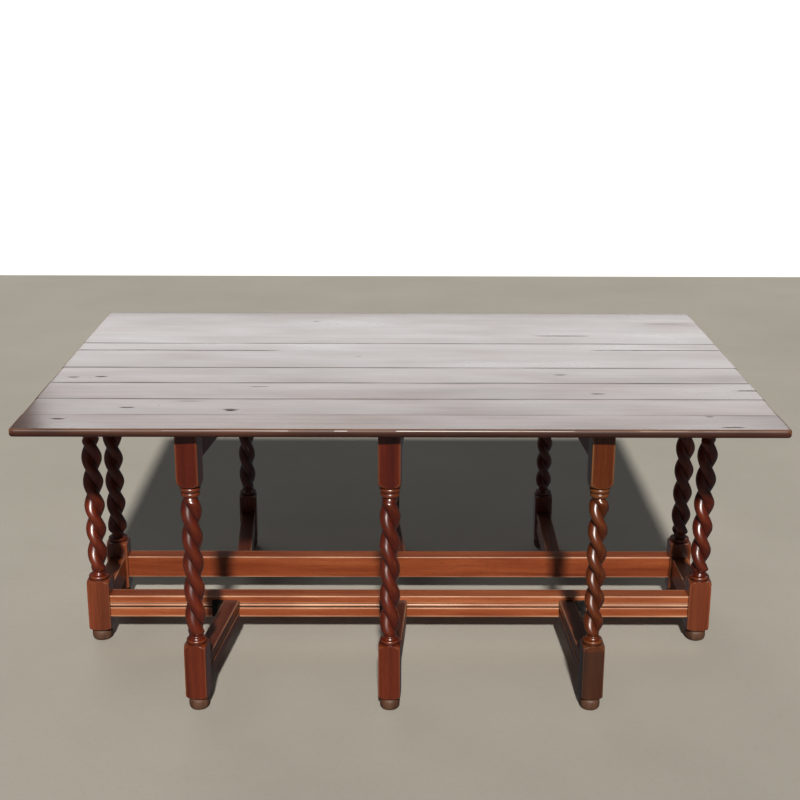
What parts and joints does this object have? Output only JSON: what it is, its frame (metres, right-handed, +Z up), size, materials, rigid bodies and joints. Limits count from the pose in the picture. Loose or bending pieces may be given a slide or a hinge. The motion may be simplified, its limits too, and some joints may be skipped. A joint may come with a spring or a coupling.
{
  "type": "gateleg table",
  "caption": "Long rectangular gateleg dining table with barley-twist legs, moulded box stretchers, hinged side leaves and swinging gates that carry them.",
  "frame": {"origin": "on the floor, under the centre of the top", "axes": "+X along the table's length, +Y from the front leaf to the back leaf, +Z up"},
  "size_m": [1.8, 1.18, 0.75],
  "materials": {
    "top_wood": "satin, waxed and worn",
    "leg_wood": "polished",
    "stretcher_wood": "polished, worn on its arrises",
    "hinge_iron": "dark and matte"
  },
  "bodies": {
    "root": {"centre_board_front": "top_wood", "centre_board_back": "top_wood", "corner_leg_front_left": "leg_wood", "corner_leg_front_right": "leg_wood", "corner_leg_back_left": "leg_wood", "corner_leg_back_right": "leg_wood", "long_apron_front": "leg_wood", "long_apron_back": "leg_wood", "end_apron_left": "leg_wood", "end_apron_right": "leg_wood", "long_stretcher_front": "stretcher_wood", "long_stretcher_back": "stretcher_wood", "end_stretcher_left": "stretcher_wood", "end_stretcher_right": "stretcher_wood", "gate_hinge_upper_front_left": "hinge_iron", "gate_hinge_lower_front_left": "hinge_iron", "gate_hinge_upper_front_middle": "hinge_iron", "gate_hinge_lower_front_middle": "hinge_iron", "gate_hinge_upper_front_right": "hinge_iron", "gate_hinge_lower_front_right": "hinge_iron", "gate_hinge_upper_back_left": "hinge_iron", "gate_hinge_lower_back_left": "hinge_iron", "gate_hinge_upper_back_middle": "hinge_iron", "gate_hinge_lower_back_middle": "hinge_iron", "gate_hinge_upper_back_right": "hinge_iron", "gate_hinge_lower_back_right": "hinge_iron", "leaf_hinge_fixed_front_left": "hinge_iron", "leaf_hinge_fixed_front_middle": "hinge_iron", "leaf_hinge_fixed_front_right": "hinge_iron", "leaf_hinge_fixed_back_left": "hinge_iron", "leaf_hinge_fixed_back_middle": "hinge_iron", "leaf_hinge_fixed_back_right": "hinge_iron"},
    "front_leaf": {"front_leaf_board_outer": "top_wood", "front_leaf_board_middle": "top_wood", "front_leaf_board_inner": "top_wood", "leaf_hinge_moving_front_left": "hinge_iron", "leaf_hinge_moving_front_middle": "hinge_iron", "leaf_hinge_moving_front_right": "hinge_iron"},
    "back_leaf": {"back_leaf_board": "top_wood", "leaf_hinge_moving_back_left": "hinge_iron", "leaf_hinge_moving_back_middle": "hinge_iron", "leaf_hinge_moving_back_right": "hinge_iron"},
    "gate_front_left": {"gate_leg_front_left": "leg_wood", "gate_upper_rail_front_left": "leg_wood", "gate_lower_rail_front_left": "stretcher_wood"},
    "gate_front_middle": {"gate_leg_front_middle": "leg_wood", "gate_upper_rail_front_middle": "leg_wood", "gate_lower_rail_front_middle": "stretcher_wood"},
    "gate_front_right": {"gate_leg_front_right": "leg_wood", "gate_upper_rail_front_right": "leg_wood", "gate_lower_rail_front_right": "stretcher_wood"},
    "gate_back_left": {"gate_leg_back_left": "leg_wood", "gate_upper_rail_back_left": "leg_wood", "gate_lower_rail_back_left": "stretcher_wood"},
    "gate_back_middle": {"gate_leg_back_middle": "leg_wood", "gate_upper_rail_back_middle": "leg_wood", "gate_lower_rail_back_middle": "stretcher_wood"},
    "gate_back_right": {"gate_leg_back_right": "leg_wood", "gate_upper_rail_back_right": "leg_wood", "gate_lower_rail_back_right": "stretcher_wood"}
  },
  "joints": [
    {"name": "front_leaf_lift", "type": "hinge", "parent": "root", "child": "front_leaf", "pos_m": [0, -0.202, 0.7267], "axis": [-1, 0, 0], "range_deg": [0, 4]},
    {"name": "back_leaf_lift", "type": "hinge", "parent": "root", "child": "back_leaf", "pos_m": [0, 0.202, 0.7267], "axis": [1, 0, 0], "range_deg": [0, 4]},
    {"name": "gate_front_left_swing", "type": "hinge", "parent": "root", "child": "gate_front_left", "pos_m": [-0.482, -0.162, 0.38], "axis": [0, 0, -1], "range_deg": [-7, 82]},
    {"name": "gate_front_middle_swing", "type": "hinge", "parent": "root", "child": "gate_front_middle", "pos_m": [-0.026, -0.162, 0.38], "axis": [0, 0, -1], "range_deg": [-4, 85]},
    {"name": "gate_front_right_swing", "type": "hinge", "parent": "root", "child": "gate_front_right", "pos_m": [0.482, -0.162, 0.38], "axis": [0, 0, 1], "range_deg": [-2.9, 86.1]},
    {"name": "gate_back_left_swing", "type": "hinge", "parent": "root", "child": "gate_back_left", "pos_m": [-0.482, 0.162, 0.38], "axis": [0, 0, 1], "range_deg": [-3.6, 85.4]},
    {"name": "gate_back_middle_swing", "type": "hinge", "parent": "root", "child": "gate_back_middle", "pos_m": [-0.026, 0.162, 0.38], "axis": [0, 0, 1], "range_deg": [-4.3, 84.7]},
    {"name": "gate_back_right_swing", "type": "hinge", "parent": "root", "child": "gate_back_right", "pos_m": [0.482, 0.162, 0.38], "axis": [0, 0, -1], "range_deg": [-0.5, 88.5]}
  ]
}
